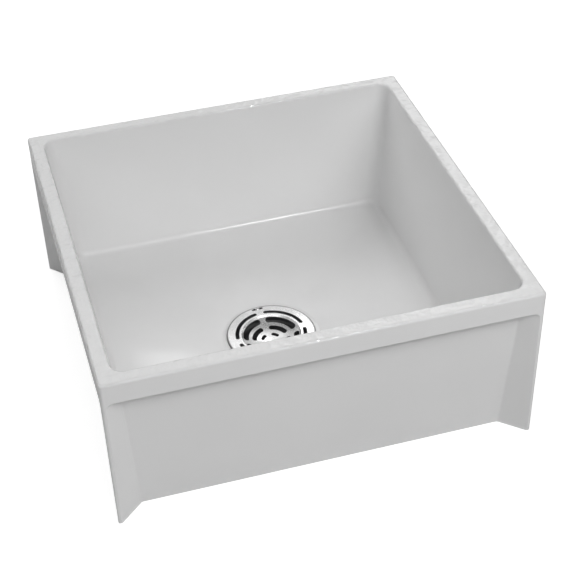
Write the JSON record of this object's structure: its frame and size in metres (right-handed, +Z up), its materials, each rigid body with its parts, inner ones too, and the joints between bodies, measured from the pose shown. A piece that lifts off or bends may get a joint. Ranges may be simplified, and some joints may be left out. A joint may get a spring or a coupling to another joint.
{
  "type": "mop sink",
  "caption": "Square floor-standing mop sink: deep white moulded basin with recessed sides, corner fins and a floor that falls to a slotted steel strainer over a drain for a waste pipe.",
  "frame": {"origin": "middle of the basin in the plane of the skirt's foot, on the drain's axis", "axes": "+X to the right along the front, +Y to the back, +Z up"},
  "size_m": [0.6096, 0.6096, 0.305],
  "materials": {
    "gelcoat": "smooth glossy moulded surface",
    "stainless": "bright stamped sheet",
    "screw_steel": "bright",
    "drain_plastic": "matt black moulding",
    "seal_rubber": "matt",
    "slip_washer": "smooth, pale"
  },
  "bodies": {
    "basin": {"basin_shell": "gelcoat", "drain_body": "drain_plastic", "flange_gasket": "seal_rubber", "lower_gasket": "seal_rubber", "friction_washer": "slip_washer", "lock_nut": "drain_plastic", "pipe_gasket": "seal_rubber", "compression_nut": "drain_plastic"},
    "strainer_set": {"strainer": "stainless", "strainer_screw_1": "screw_steel", "strainer_screw_2": "screw_steel"}
  },
  "joints": [
    {"name": "strainer_lift", "type": "slide", "parent": "basin", "child": "strainer_set", "axis": [0, 0, 1], "range_m": [0, 0.27]}
  ]
}
